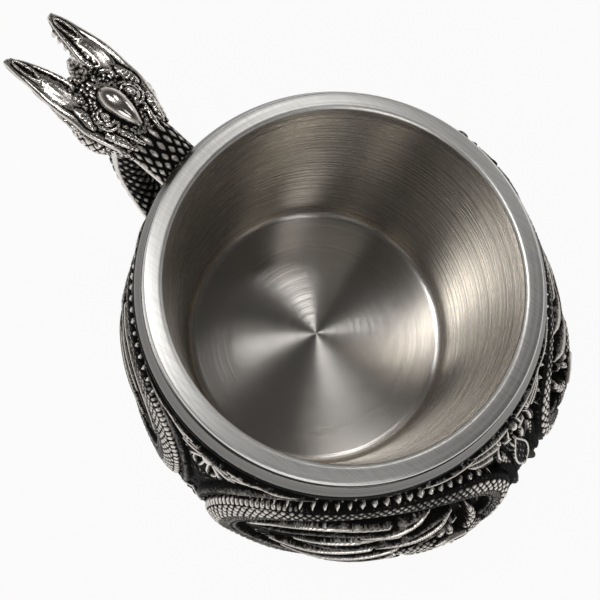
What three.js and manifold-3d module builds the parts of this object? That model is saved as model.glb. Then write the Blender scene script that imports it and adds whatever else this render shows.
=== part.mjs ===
// Dragon tankard: a cast relief body with a dragon handle and a lift-out steel liner.
// Millimetres, +Z up, origin on the cup axis at the underside of the base pad, handle along -X.
import * as THREE from 'three';
import { mergeVertices } from 'three/addons/utils/BufferGeometryUtils.js';
import Module from 'manifold-3d';

const wasm = await Module();
wasm.setup();

// Clearances and roundness
const FIT_GAP = 0.3;
const PIN_GAP = 0.2;
const LINER_CLEARANCE = 0.5;
const ROUND_SEGMENTS = 48;

// Steel liner
const LINER_MOUTH_R = 43.3;
const LINER_TAPER = 1.9;
const LINER_DEPTH = 74.2;
const LINER_SHEET = 0.8;
const LINER_FILLET = 3.2;
const FLANGE_WIDTH = 4.7;
const FLANGE_THICK = 1.6;
const FLANGE_EDGE = 0.7;
const FLANGE_INNER_ROUND = 1.1;

// Seal ring under the flange
const SEAL_INSET = 1.1;
const SEAL_WIDTH = 2;
const SEAL_THICK = 0.9;

// Collar band around the mouth of the body
const COLLAR_SHEET = 0.9;
const COLLAR_SETBACK = 0.4;
const COLLAR_LIP = 0.5;
const COLLAR_FLARE = 2;
const COLLAR_DROP = 2.6;
const COLLAR_ROUND = 0.45;

// Cast body
const BODY_STEP = 0.5;
const BODY_FLOOR = 8.4;
const BELLY_FRONT = 19;
const BELLY_BACK = 6;
const FOOT_HEIGHT = 5;
const FOOT_LIP = 0.8;
const FOOT_CHAMFER = 1.6;
const BODY_SEGMENTS = 120;
const WALL_ROWS = 28;

// Base pad
const PAD_INSET = 5.5;
const PAD_THICK = 2;
const PAD_STAND = 0.6;

// Handle and pins
const NECK_DROP = 14;
const HEEL_Z = 17;
const GRIP_REACH = 20.5;
const GRIP_HALF_WIDTH = 5.4;
const GRIP_HALF_DEPTH = 5.8;
const TENON_R = 6.2;
const TENON_DEPTH = 3.4;
const PIN_R = 1.5;
const PIN_LENGTH = 9;
const PIN_COVER = 1.2;
const HEAD_PIN_LENGTH = 10;

// Dragon head
const SKULL_HALF_WIDTH = 10.4;
const SKULL_HALF_DEPTH = 6.8;
const JAW_LENGTH = 22.8;
const JAW_SPREAD = 8.1;
const JAW_HALF_WIDTH = 3.8;
const LOWER_JAW_LENGTH = 16.6;
const LOWER_JAW_HALF_WIDTH = 5.6;
const TONGUE_LENGTH = 8.6;
const TONGUE_HALF_WIDTH = 2.6;

// Heights that follow from the sizes above, from the pad up
const CAVITY_FLOOR_Z = PAD_THICK + FIT_GAP + BODY_FLOOR;
const LINER_UNDER_Z = CAVITY_FLOOR_Z + FIT_GAP;
const LINER_FLOOR_Z = LINER_UNDER_Z + LINER_SHEET;
const RIM_Z = LINER_FLOOR_Z + LINER_DEPTH;
const FLANGE_UNDER_Z = RIM_Z - FLANGE_THICK;
const SEAL_TOP_Z = FLANGE_UNDER_Z - PIN_GAP;
const SEAL_BOTTOM_Z = SEAL_TOP_Z - SEAL_THICK;
const SEAT_Z = SEAL_BOTTOM_Z - PIN_GAP;
const SEAT_UNDER_Z = SEAT_Z - COLLAR_SHEET;
const BODY_TOP_Z = SEAT_UNDER_Z - FIT_GAP;
const COLLAR_FOOT_Z = SEAT_Z - COLLAR_DROP;
const NECK_Z = RIM_Z - NECK_DROP;

// Radii that follow from the sizes above, from the liner out
const LINER_FLOOR_R = LINER_MOUTH_R - LINER_TAPER;
const LINER_NECK_R = LINER_MOUTH_R + LINER_SHEET;
const FLANGE_R = LINER_MOUTH_R + FLANGE_WIDTH;
const SEAL_INNER_R = LINER_NECK_R + SEAL_INSET;
const SEAL_OUTER_R = SEAL_INNER_R + SEAL_WIDTH;
const CAVITY_R = LINER_NECK_R + LINER_CLEARANCE;
const COLLAR_SEAT_R = CAVITY_R + COLLAR_SETBACK;
const COLLAR_TOP_R = FLANGE_R + COLLAR_LIP;
const COLLAR_FOOT_R = COLLAR_TOP_R + COLLAR_FLARE;
const BODY_R = COLLAR_FOOT_R + BODY_STEP;
const PAD_R = BODY_R - BODY_STEP - PAD_INSET;
const GRIP_R = BODY_R + GRIP_REACH;
const TENON_END_R = BODY_R - TENON_DEPTH;

// Relief of one quarter of the wall, repeated as mirror images round the body.
// Each point is [degrees from the front, height, half width, rise] on a wall of the drawn height.
// One degree of this wall is about one millimetre, so both directions share one measure.
const DRAWN_HEIGHT = 81.9;
const DRAGON_LINE = [
  [8, 13, 4, 0.8],
  [20, 15.5, 4, 1.6],
  [34, 19.5, 4.2, 2.2],
  [50, 23, 4.6, 2.6],
  [64, 27, 5, 3],
  [74.5, 33.5, 5.2, 3.2],
  [80, 43, 5.2, 3.3],
  [79.5, 52, 5, 3.3],
  [75, 59.5, 4.8, 3.2],
  [67.5, 65, 4.4, 3],
  [58, 68, 4, 2.7],
  [47, 69.3, 4, 2.5],
  [36, 68.3, 4, 2.5],
  [26, 65.4, 4, 2.6],
  [18, 62, 4, 2.7],
  [12, 57.5, 4, 2.8],
  [9.5, 51.5, 4, 2.8],
  [12.5, 45.8, 4.2, 2.9],
  [19.5, 44.6, 4.4, 3.2],
  [27, 45, 4.6, 3.4],
  [33, 46, 4.2, 2.8],
];
const FEATHER_LINES = [
  [[31, 57.5, 3, 2.2], [42, 60, 3.2, 2.6], [56, 60.4, 3.2, 2.6], [66, 57, 3, 2.2], [72, 51, 2.8, 1.2]],
  [[31, 54, 3, 2.4], [42, 52.4, 3.4, 2.8], [55, 49, 3.4, 2.6], [67, 46, 3, 1.4]],
  [[31, 50.6, 3, 2.4], [40, 45.6, 3.4, 2.8], [52, 41, 3.4, 2.6], [63, 38.8, 3, 1.4]],
  [[31, 48.8, 3, 2.2], [37, 41.6, 3, 2.6], [45, 36.4, 3, 2.4], [53, 34, 2.8, 1.4]],
];
const LEG_LINE = [
  [12, 40, 3.4, 2.8],
  [19, 35, 3.6, 3],
  [28, 33.5, 3.6, 2.6],
];
const LEAF_LINE = [
  [5, 51, 2.8, 2.2],
  [5.6, 44, 3, 3],
  [5.4, 36, 3, 3],
  [4, 29, 2.8, 2],
];
const QUARTER_TURN = 90;
const BACK_SHARE = 0.6;

// Colours read from the photograph
const steel = new THREE.MeshStandardMaterial({ color: 0xb9b4ac, roughness: 0.32, metalness: 1 });
const collarSteel = new THREE.MeshStandardMaterial({ color: 0xaaa7a2, roughness: 0.24, metalness: 1 });
const castSilver = new THREE.MeshStandardMaterial({ color: 0x6e6c69, roughness: 0.4, metalness: 0.8 });
const gripSilver = new THREE.MeshStandardMaterial({ color: 0x646260, roughness: 0.42, metalness: 0.8 });
const headSilver = new THREE.MeshStandardMaterial({ color: 0x7c7a77, roughness: 0.36, metalness: 0.8 });
const sealRubber = new THREE.MeshStandardMaterial({ color: 0x1d1d1e, roughness: 0.7, metalness: 0 });
const padFoam = new THREE.MeshStandardMaterial({ color: 0x242322, roughness: 0.9, metalness: 0 });
const pinSteel = new THREE.MeshStandardMaterial({ color: 0x9a9a98, roughness: 0.4, metalness: 1 });

// One closed body from a three.js geometry, facing out, ready to be joined and cut.
function solid(geometry) {
  const bare = geometry.clone();
  bare.deleteAttribute('normal');
  bare.deleteAttribute('uv');
  const merged = mergeVertices(bare, 1e-4);
  const points = merged.attributes.position;
  const index = merged.index.array;
  const corners = [new THREE.Vector3(), new THREE.Vector3(), new THREE.Vector3()];
  const triangles = [];
  let volume = 0;
  for (let i = 0; i < index.length; i += 3) {
    const [a, b, c] = [index[i], index[i + 1], index[i + 2]];
    if (a === b || b === c || c === a) {
      continue;
    }
    triangles.push(a, b, c);
    corners[0].fromBufferAttribute(points, a);
    corners[1].fromBufferAttribute(points, b);
    corners[2].fromBufferAttribute(points, c);
    volume += corners[0].dot(corners[1].cross(corners[2]));
  }
  if (volume < 0) {
    triangles.reverse();
  }
  return new wasm.Manifold(new wasm.Mesh({
    numProp: 3,
    vertProperties: new Float32Array(points.array),
    triVerts: new Uint32Array(triangles),
  }));
}

// A named mesh from a finished body.
function named(name, body, material) {
  const data = body.getMesh();
  const geometry = new THREE.BufferGeometry();
  geometry.setAttribute('position', new THREE.BufferAttribute(new Float32Array(data.vertProperties), 3));
  geometry.setIndex(new THREE.BufferAttribute(new Uint32Array(data.triVerts), 1));
  geometry.computeVertexNormals();
  const mesh = new THREE.Mesh(geometry, material);
  mesh.name = name;
  return mesh;
}

// A turned form about Z from a profile of [radius, height] points.
function turned(profile, segments = ROUND_SEGMENTS) {
  const points = profile.map(([r, z]) => new THREE.Vector2(r, z));
  return new THREE.LatheGeometry(points, segments).rotateX(Math.PI / 2);
}

// Splits each quad of a turned form along its shorter diagonal, so slanting ridges stay smooth.
function shortDiagonals(geometry) {
  const points = geometry.attributes.position;
  const index = geometry.index.array;
  const at = (n) => new THREE.Vector3().fromBufferAttribute(points, n);
  for (let i = 0; i < index.length; i += 6) {
    const [a, b, d, c] = index.slice(i, i + 4);
    if (at(a).distanceTo(at(c)) < at(b).distanceTo(at(d))) {
      index.set([a, b, c, a, c, d], i);
    }
  }
}

// Points of a round corner, from one angle to another in degrees.
function corner(r, z, radius, from, to, steps) {
  const points = [];
  for (let i = 0; i <= steps; i += 1) {
    const angle = THREE.MathUtils.degToRad(from + (to - from) * (i / steps));
    points.push([r + radius * Math.cos(angle), z + radius * Math.sin(angle)]);
  }
  return points;
}

// A bar along a path: each station is [x, y, z, half width, half depth].
function bar(stations, rings, sides, extra = 0) {
  const path = new THREE.CatmullRomCurve3(stations.map(([x, y, z]) => new THREE.Vector3(x, y, z)));
  const geometry = new THREE.CylinderGeometry(1, 1, 1, sides, rings);
  const points = geometry.attributes.position;
  const sideways = new THREE.Vector3(0, 1, 0);
  for (let i = 0; i < points.count; i += 1) {
    const t = THREE.MathUtils.clamp(0.5 - points.getY(i), 0, 1);
    const place = t * (stations.length - 1);
    const low = Math.min(Math.floor(place), stations.length - 2);
    const blend = place - low;
    const wide = THREE.MathUtils.lerp(stations[low][3], stations[low + 1][3], blend) + extra;
    const deep = THREE.MathUtils.lerp(stations[low][4], stations[low + 1][4], blend) + extra;
    const tangent = path.getTangent(t);
    const across = sideways.clone().addScaledVector(tangent, -sideways.dot(tangent)).normalize();
    const up = across.clone().cross(tangent);
    const at = path.getPoint(t);
    at.addScaledVector(across, points.getX(i) * wide);
    at.addScaledVector(up, points.getZ(i) * deep);
    points.setXYZ(i, at.x, at.y, at.z);
  }
  return geometry;
}

// A straight round pin between two points on the plane y = 0.
function pin(from, to, radius) {
  return bar([[from[0], 0, from[1], radius, radius], [to[0], 0, to[1], radius, radius]], 1, 14);
}

// Smooth step from 0 to 1 between two values.
function ease(value, from, to) {
  return THREE.MathUtils.smoothstep(value, from, to);
}

// Round hump that is 1 in the middle and 0 from one and a half half widths out.
function dome(away) {
  return away < 1.5 ? 0.5 + 0.5 * Math.cos(Math.PI * away / 1.5) : 0;
}

// Rise of one drawn line of the relief at a point of the unwrapped wall.
function lineRise(line, along, z) {
  let rise = 0;
  const steps = 10;
  for (let i = 0; i < line.length - 1; i += 1) {
    for (let k = 0; k < steps; k += 1) {
      const blend = k / steps;
      const [at, height, half, top] = line[i].map((v, n) => v + (line[i + 1][n] - v) * blend);
      rise = Math.max(rise, top * dome(Math.hypot(along - at, z - height) / half));
    }
  }
  return rise;
}

// How far the cast surface stands out from the plain wall at an angle from the front.
function relief(angle, z) {
  const turn = Math.abs(THREE.MathUtils.radToDeg(angle));
  const fold = turn < QUARTER_TURN ? turn : 2 * QUARTER_TURN - turn;
  const height = z * DRAWN_HEIGHT / BODY_TOP_Z;
  const swell = THREE.MathUtils.lerp(BELLY_FRONT, BELLY_BACK, ease(turn, -10, 140));
  const belly = swell * (1 - ease(turn, 135, 172)) * ease(height, 3, 28) * (1 - ease(height, 38, 79));
  const share = THREE.MathUtils.lerp(1, BACK_SHARE, ease(turn, 80, 100)) * (1 - ease(turn, 156, 170));
  const edge = ease(height, 7, 12) * (1 - ease(height, 75, 79));
  const lines = [DRAGON_LINE, ...FEATHER_LINES, LEG_LINE, LEAF_LINE];
  const raised = Math.max(...lines.map((line) => lineRise(line, fold, height)));
  return belly + raised * share * edge;
}

// Steel liner: a deep cup with a folded flat flange
const flangeEdge = Math.min(FLANGE_EDGE, FLANGE_THICK * 0.45);
const filletR = LINER_FLOOR_R - LINER_FILLET;
const filletZ = LINER_FLOOR_Z + LINER_FILLET;
const linerProfile = [
  [0, LINER_UNDER_Z],
  ...corner(filletR, filletZ, LINER_FILLET + LINER_SHEET, -90, 0, 4),
  [LINER_NECK_R, FLANGE_UNDER_Z],
  ...corner(FLANGE_R - flangeEdge, FLANGE_UNDER_Z + flangeEdge, flangeEdge, -90, 0, 3),
  ...corner(FLANGE_R - flangeEdge, RIM_Z - flangeEdge, flangeEdge, 0, 90, 3),
  ...corner(LINER_MOUTH_R + FLANGE_INNER_ROUND, RIM_Z - FLANGE_INNER_ROUND, FLANGE_INNER_ROUND, 90, 180, 4),
  ...corner(filletR, filletZ, LINER_FILLET, 0, -90, 4),
  [0, LINER_FLOOR_Z],
];
const liner = solid(turned(linerProfile));

// Seal ring between the flange and the collar
const seal = solid(turned([
  [SEAL_INNER_R, SEAL_BOTTOM_Z],
  [SEAL_OUTER_R, SEAL_BOTTOM_Z],
  [SEAL_OUTER_R, SEAL_TOP_Z],
  [SEAL_INNER_R, SEAL_TOP_Z],
  [SEAL_INNER_R, SEAL_BOTTOM_Z],
]));

// Collar: a flat seat with a flared skirt
const collarRound = Math.min(COLLAR_ROUND, COLLAR_SHEET * 0.5);
const collar = solid(turned([
  [COLLAR_SEAT_R, SEAT_UNDER_Z],
  [COLLAR_TOP_R - COLLAR_SHEET, SEAT_UNDER_Z],
  [COLLAR_FOOT_R - COLLAR_SHEET, COLLAR_FOOT_Z],
  [COLLAR_FOOT_R, COLLAR_FOOT_Z],
  [COLLAR_TOP_R + collarRound * 0.5, SEAT_Z - collarRound],
  [COLLAR_TOP_R - collarRound * 0.5, SEAT_Z],
  [COLLAR_SEAT_R, SEAT_Z],
  [COLLAR_SEAT_R, SEAT_UNDER_Z],
]));

// Cast body: a turned shell whose outside is lifted by the relief
const cavityFloorR = LINER_FLOOR_R + LINER_SHEET + LINER_CLEARANCE;
const neckR = COLLAR_TOP_R - COLLAR_SHEET - FIT_GAP;
const skirtInsideR = COLLAR_FOOT_R - COLLAR_SHEET - FIT_GAP;
const shoulderZ = COLLAR_FOOT_Z - FIT_GAP;
const footTopZ = PAD_STAND + FOOT_HEIGHT;
const wallLowZ = footTopZ + 4.4;
const wallHighZ = BODY_TOP_Z - 7.5;
const wallRows = [];
for (let i = 0; i < WALL_ROWS; i += 1) {
  wallRows.push(THREE.MathUtils.lerp(wallLowZ, wallHighZ, i / (WALL_ROWS - 1)));
}
const footR = COLLAR_FOOT_R + FOOT_LIP;
const padTopZ = PAD_THICK + FIT_GAP;
const bodyProfile = [
  [0, padTopZ],
  [PAD_R + FIT_GAP, padTopZ],
  [PAD_R + FIT_GAP, PAD_STAND],
  [footR - FOOT_CHAMFER, PAD_STAND],
  [footR, PAD_STAND + FOOT_CHAMFER],
  [footR, footTopZ],
  [BODY_R - BODY_STEP, footTopZ + 1.4],
  ...wallRows.map((z) => [BODY_R, z]),
  [BODY_R - BODY_STEP, BODY_TOP_Z - 5],
  [COLLAR_FOOT_R - BODY_STEP, shoulderZ],
  [skirtInsideR, shoulderZ],
  [neckR, BODY_TOP_Z],
  [CAVITY_R, BODY_TOP_Z],
  [cavityFloorR, CAVITY_FLOOR_Z + LINER_FILLET],
  [cavityFloorR - LINER_FILLET / 2, CAVITY_FLOOR_Z],
  [0, CAVITY_FLOOR_Z],
];
const shell = turned(bodyProfile, BODY_SEGMENTS);
const shellPoints = shell.attributes.position;
for (let i = 0; i < shellPoints.count; i += 1) {
  const x = shellPoints.getX(i);
  const y = shellPoints.getY(i);
  const z = shellPoints.getZ(i);
  const r = Math.hypot(x, y);
  if (r > BODY_R - BODY_STEP / 2 && z > wallLowZ - 1 && z < wallHighZ + 1) {
    const grown = (r + relief(Math.atan2(y, x), z)) / r;
    shellPoints.setXY(i, x * grown, y * grown);
  }
}
shortDiagonals(shell);

// Handle path from the neck tenon over the top and down the grip to the heel tenon
const gripZ = (share) => THREE.MathUtils.lerp(HEEL_Z, NECK_Z, share);
const gripX = (share) => -(BODY_R + GRIP_REACH * share);
const handleStations = [
  [-TENON_END_R, 0, NECK_Z, TENON_R, TENON_R],
  [gripX(0.15), 0, NECK_Z + 2, TENON_R, TENON_R],
  [gripX(0.54), 0, NECK_Z + 3.6, TENON_R, TENON_R],
  [gripX(0.85), 0, NECK_Z - 1.4, GRIP_HALF_WIDTH, GRIP_HALF_DEPTH],
  [gripX(0.98), 0, gripZ(0.745), GRIP_HALF_WIDTH, GRIP_HALF_DEPTH],
  [gripX(1), 0, gripZ(0.49), GRIP_HALF_WIDTH, GRIP_HALF_DEPTH],
  [gripX(0.88), 0, gripZ(0.255), GRIP_HALF_WIDTH, GRIP_HALF_DEPTH],
  [gripX(0.54), 0, gripZ(0.075), TENON_R, TENON_R - 0.3],
  [gripX(0.17), 0, HEEL_Z, TENON_R - 0.4, TENON_R - 0.6],
  [-TENON_END_R, 0, HEEL_Z - 1, TENON_R - 0.6, TENON_R - 0.8],
];
const tenonShift = ([x, y, z, wide, deep]) => [x + FIT_GAP, y, z, wide, deep];
const handleBar = solid(bar(handleStations, 36, 18));
const handleRoom = solid(bar([
  tenonShift(handleStations[0]),
  ...handleStations.slice(1, -1),
  tenonShift(handleStations[handleStations.length - 1]),
], 36, 18, FIT_GAP));

// Head: skull, two forward jaws, lower jaw and tongue joined in one casting.
// Distances are out from the grip and up from the neck.
const headX = (reach) => -(GRIP_R + reach);
const headZ = (rise) => NECK_Z + rise;
const skullShape = [
  [-10, 7.6, 0.21, 0.18],
  [-8.5, 7.4, 0.56, 0.53],
  [-4.5, 7, 0.79, 0.82],
  [0.5, 6.8, 1, 1],
  [5.5, 7.4, 0.96, 0.91],
  [10, 8.4, 0.85, 0.68],
  [12.9, 9.4, 0.69, 0.44],
];
const skull = solid(bar(skullShape.map(([reach, rise, wide, deep]) => [
  headX(reach), 0, headZ(rise), SKULL_HALF_WIDTH * wide, SKULL_HALF_DEPTH * deep,
]), 14, 18));
const jawShape = [
  [0, 0.67, 8.5, 1, 0.9],
  [0.22, 0.79, 10.3, 0.97, 0.9],
  [0.48, 0.82, 11.2, 0.84, 0.76],
  [0.75, 0.91, 11.2, 0.62, 0.56],
  [0.92, 0.975, 10.6, 0.38, 0.34],
  [1, 1, 10.2, 0.13, 0.12],
];
const jawSide = (side) => solid(bar(jawShape.map(([share, spread, rise, wide, deep]) => [
  headX(5.5 + JAW_LENGTH * share),
  side * JAW_SPREAD * spread,
  headZ(rise),
  JAW_HALF_WIDTH * wide,
  JAW_HALF_WIDTH * deep,
]), 12, 12));
const lowerJawShape = [
  [0, 2.6, 1, 0.6],
  [0.36, 1.4, 0.9, 0.5],
  [0.66, 1.6, 0.68, 0.39],
  [0.9, 2.6, 0.39, 0.25],
  [1, 3.2, 0.11, 0.09],
];
const lowerJaw = solid(bar(lowerJawShape.map(([share, rise, wide, deep]) => [
  headX(0.5 + LOWER_JAW_LENGTH * share),
  0,
  headZ(rise),
  LOWER_JAW_HALF_WIDTH * wide,
  LOWER_JAW_HALF_WIDTH * deep,
]), 9, 14));
const tongueShape = [
  [0, 8, 1, 0.54],
  [0.4, 10.7, 0.88, 0.42],
  [0.75, 12.3, 0.65, 0.35],
  [1, 13.1, 0.31, 0.19],
];
const tongue = solid(bar(tongueShape.map(([share, reach, wide, deep]) => [
  headX(reach),
  0,
  headZ(9.6 + TONGUE_LENGTH * share),
  TONGUE_HALF_WIDTH * wide,
  TONGUE_HALF_WIDTH * deep,
]), 6, 12));
const headWhole = skull.add(jawSide(1)).add(jawSide(-1)).add(lowerJaw).add(tongue);

// Pins and the holes they sit in
function pinHole(from, to) {
  const reach = Math.hypot(to[0] - from[0], to[1] - from[1]);
  const step = [(to[0] - from[0]) / reach * FIT_GAP, (to[1] - from[1]) / reach * FIT_GAP];
  const start = [from[0] - step[0], from[1] - step[1]];
  const end = [to[0] + step[0], to[1] + step[1]];
  return solid(pin(start, end, PIN_R + PIN_GAP));
}
const pinStartX = -(CAVITY_R + PIN_COVER);
const neckPinFrom = [pinStartX, NECK_Z - 0.2];
const neckPinTo = [pinStartX - PIN_LENGTH, NECK_Z + 1];
const heelPinFrom = [pinStartX, HEEL_Z - 1];
const heelPinTo = [pinStartX - PIN_LENGTH, HEEL_Z - 0.6];
const headPinFrom = [headX(-5.7), headZ(-0.4)];
const headPinTo = [headPinFrom[0] - HEAD_PIN_LENGTH * 0.6, headPinFrom[1] + HEAD_PIN_LENGTH * 0.8];
const neckHole = pinHole(neckPinFrom, neckPinTo);
const heelHole = pinHole(heelPinFrom, heelPinTo);
const headHole = pinHole(headPinFrom, headPinTo);

const body = solid(shell).subtract(handleRoom).subtract(neckHole).subtract(heelHole);
const handle = handleBar.subtract(neckHole).subtract(heelHole).subtract(headHole);
const head = headWhole.subtract(handleRoom).subtract(headHole);

// Base pad
const pad = solid(new THREE.CylinderGeometry(PAD_R, PAD_R, PAD_THICK, ROUND_SEGMENTS)
  .rotateX(Math.PI / 2)
  .translate(0, 0, PAD_THICK / 2));

const tankard = new THREE.Group();
tankard.name = 'dragon_tankard';
tankard.add(named('steel_liner', liner, steel));
tankard.add(named('seal_ring', seal, sealRubber));
tankard.add(named('collar_band', collar, collarSteel));
tankard.add(named('mug_body', body, castSilver));
tankard.add(named('handle_casting', handle, gripSilver));
tankard.add(named('dragon_head', head, headSilver));
tankard.add(named('neck_pin', solid(pin(neckPinFrom, neckPinTo, PIN_R)), pinSteel));
tankard.add(named('heel_pin', solid(pin(heelPinFrom, heelPinTo, PIN_R)), pinSteel));
tankard.add(named('head_pin', solid(pin(headPinFrom, headPinTo, PIN_R)), pinSteel));
tankard.add(named('base_pad', pad, padFoam));

export default tankard;
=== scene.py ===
# %% [markdown]
# # A dragon tankard with a steel liner
# The mug is a cast, antique-silver body with dragons in relief, a dragon for a handle, and a brushed
# steel cup that drops in from above. The solids that carry and move come in as a fixed frame. Each
# visible piece is then made again in fine mesh, in the same place and at the same size.

# %% Load the frame
import math

import bpy
import numpy as np
from mathutils import Matrix, Vector


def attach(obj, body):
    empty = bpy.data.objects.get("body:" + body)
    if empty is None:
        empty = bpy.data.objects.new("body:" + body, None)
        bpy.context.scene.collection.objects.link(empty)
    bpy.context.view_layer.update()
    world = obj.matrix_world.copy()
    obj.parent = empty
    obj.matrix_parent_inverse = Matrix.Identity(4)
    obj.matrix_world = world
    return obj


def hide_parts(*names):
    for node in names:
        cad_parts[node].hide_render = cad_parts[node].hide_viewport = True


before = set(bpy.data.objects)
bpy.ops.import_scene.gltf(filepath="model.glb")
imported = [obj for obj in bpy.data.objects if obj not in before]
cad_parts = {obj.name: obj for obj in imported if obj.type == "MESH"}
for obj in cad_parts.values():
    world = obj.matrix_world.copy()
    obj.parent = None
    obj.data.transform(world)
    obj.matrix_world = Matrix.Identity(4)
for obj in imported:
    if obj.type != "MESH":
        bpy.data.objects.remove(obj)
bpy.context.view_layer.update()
print("solids:", sorted(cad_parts))

# %% [markdown]
# ## Camera
# The picture looks down into the cup from above, a little from one side, with the handle at the upper
# left. A camera can be aimed with a Track To constraint, but that fixes which way is up. Here its three
# axes are written down, so the roll of the picture is kept.

# %% Camera
MM = 0.001
CAMERA_AT = Vector((7.7, -54.6, 279.9)) * MM
LOOK_RIGHT = Vector((0.79029, 0.60725, 0.08176))
LOOK_UP = Vector((-0.60907, 0.76399, 0.21295))
LOOK_BACK = Vector((0.06685, -0.21809, 0.97364))


def add_object(name, data):
    thing = bpy.data.objects.new(name, data)
    bpy.context.scene.collection.objects.link(thing)
    return thing


camera_data = bpy.data.cameras.new("camera")
camera_data.sensor_width = 36
camera_data.lens = 51
camera = add_object("camera", camera_data)
axes = Matrix((LOOK_RIGHT, LOOK_UP, LOOK_BACK)).transposed()
camera.matrix_world = Matrix.Translation(CAMERA_AT) @ axes.to_4x4()
bpy.context.scene.camera = camera
bpy.context.scene.view_settings.view_transform = "Standard"
print("camera at", [round(v, 3) for v in camera.location])

# %% [markdown]
# ## Node helpers
# Every finish below is a small node tree. Making nodes one property at a time takes many lines, so one
# helper links or sets the inputs of a node, and another makes a node with its options and inputs. The
# rest are the few nodes that nearly every finish needs.

# %% Node helpers
MIX_FROM, MIX_TO, MIX_RESULT = 6, 7, 2


def fill(tree, node, inputs):
    """Links each input that is given a socket, and sets each that is given a value."""
    for key, value in inputs.items():
        if isinstance(value, bpy.types.NodeSocket):
            tree.links.new(value, node.inputs[key])
        else:
            node.inputs[key].default_value = value


def put(tree, kind, inputs=None, **options):
    node = tree.nodes.new("ShaderNode" + kind)
    for name, value in options.items():
        setattr(node, name, value)
    fill(tree, node, inputs or {})
    return node


def math_node(tree, operation, *values):
    return put(tree, "Math", dict(enumerate(values)), operation=operation).outputs[0]


def spread(tree, value, low, high, to_low=0.0, to_high=1.0):
    inputs = {"Value": value, "From Min": low, "From Max": high, "To Min": to_low, "To Max": to_high}
    return put(tree, "MapRange", inputs, interpolation_type="SMOOTHSTEP").outputs["Result"]


def two_tone(tree, amount, first, second):
    """The first colour where the amount is 0, and the second where it is 1."""
    mix = put(tree, "Mix", {"Factor": amount, MIX_FROM: first, MIX_TO: second}, data_type="RGBA")
    return mix.outputs[MIX_RESULT]


def noise(tree, place, scale, detail):
    return put(tree, "TexNoise", {"Vector": place, "Scale": scale, "Detail": detail}).outputs["Fac"]


def object_place(tree):
    return put(tree, "TexCoord").outputs["Object"]


def new_finish(name):
    finish = bpy.data.materials.new(name)
    finish.use_nodes = True
    tree = finish.node_tree
    return finish, tree, tree.nodes["Principled BSDF"]


print("helpers ready")

# %% [markdown]
# ## Floor, backdrop and light
# The mug stands on white paper in a bright tent. The floor is mostly its own white where the camera or
# a reflection sees it, and partly lit paper, so a soft shadow stays. The sky is white low down and dim
# overhead. One broad lamp would wash brushed steel out, so several narrow ones stand above the mug: each
# draws its own pair of bright fans across the floor of the cup and leaves the rest dark. Two wider lamps
# stand lower and light the relief.

# %% Floor
HALF_FLOOR = 3
OWN_WHITE = 0.94
corners = [(x * HALF_FLOOR, y * HALF_FLOOR, 0) for x, y in ((-1, -1), (1, -1), (1, 1), (-1, 1))]
floor_mesh = bpy.data.meshes.new("floor")
floor_mesh.from_pydata(corners, [], [(0, 1, 2, 3)])
floor = add_object("floor", floor_mesh)
paper, tree, shader = new_finish("white_paper")
fill(tree, shader, {"Base Color": (0.86, 0.86, 0.86, 1), "Roughness": 0.9})
path = put(tree, "LightPath").outputs
seen = math_node(tree, "MAXIMUM", path["Is Glossy Ray"], path["Is Transmission Ray"])
seen = math_node(tree, "MAXIMUM", seen, path["Is Camera Ray"])
glow = put(tree, "Emission", {"Color": (1, 1, 1, 1), "Strength": 1.0})
share = math_node(tree, "MULTIPLY", seen, OWN_WHITE)
mixed = put(tree, "MixShader", {0: share, 1: shader.outputs[0], 2: glow.outputs[0]})
fill(tree, tree.nodes["Material Output"], {"Surface": mixed.outputs[0]})
floor_mesh.materials.append(paper)
print("floor", 2 * HALF_FLOOR, "m square")

# %% Sky
LOW_GLOW = 0.45
OVERHEAD_GLOW = 0.055
world = bpy.data.worlds.new("tent")
bpy.context.scene.world = world
world.use_nodes = True
tree = world.node_tree
tree.nodes.clear()
ray = put(tree, "TexCoord").outputs["Generated"]
height = put(tree, "SeparateXYZ", {0: ray}).outputs["Z"]
dim = spread(tree, height, 0.05, 0.6, LOW_GLOW, OVERHEAD_GLOW)
tent = put(tree, "Background", {"Color": (1.0, 0.98, 0.95, 1), "Strength": dim})
white = put(tree, "Background", {"Color": (1, 1, 1, 1), "Strength": 1.0})
path = put(tree, "LightPath").outputs
mirror = math_node(tree, "MAXIMUM", path["Is Glossy Ray"], path["Is Transmission Ray"])
mirror = math_node(tree, "MULTIPLY", mirror, spread(tree, height, 0.02, 0.14, 1.0, 0.0))
seen = math_node(tree, "MAXIMUM", path["Is Camera Ray"], mirror)
both = put(tree, "MixShader", {0: seen, 1: tent.outputs[0], 2: white.outputs[0]})
put(tree, "OutputWorld", {"Surface": both.outputs[0]})
print("sky set")

# %% Lamps
LAMP_AIM = Vector((0, 0, 0.06))
# Name, azimuth and elevation in degrees, distance, width and height in metres, watts
LAMPS = [
    ("main_box", 204, 65, 0.64, 0.12, 0.20, 0.66),
    ("high_box", 185, 75, 0.64, 0.12, 0.20, 0.06),
    ("left_box", 188, 55, 0.64, 0.10, 0.20, 0.22),
    ("top_box", 123.5, 63, 0.64, 0.08, 0.20, 0.25),
    ("second_box", 332, 60, 0.64, 0.10, 0.20, 0.13),
    ("front_box", -62, 34, 0.75, 0.40, 0.22, 0.9),
    ("back_box", 75, 30, 0.75, 0.30, 0.22, 0.4),
]


def softbox(name, azimuth, elevation, distance, wide, tall, watts):
    lamp = bpy.data.lights.new(name, "AREA")
    lamp.shape = "RECTANGLE"
    lamp.size = wide
    lamp.size_y = tall
    lamp.energy = watts
    holder = add_object(name, lamp)
    a, e = math.radians(azimuth), math.radians(elevation)
    away = Vector((math.cos(a) * math.cos(e), math.sin(a) * math.cos(e), math.sin(e)))
    holder.location = LAMP_AIM + away * distance
    holder.rotation_euler = away.to_track_quat("Z", "Y").to_euler()


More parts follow.
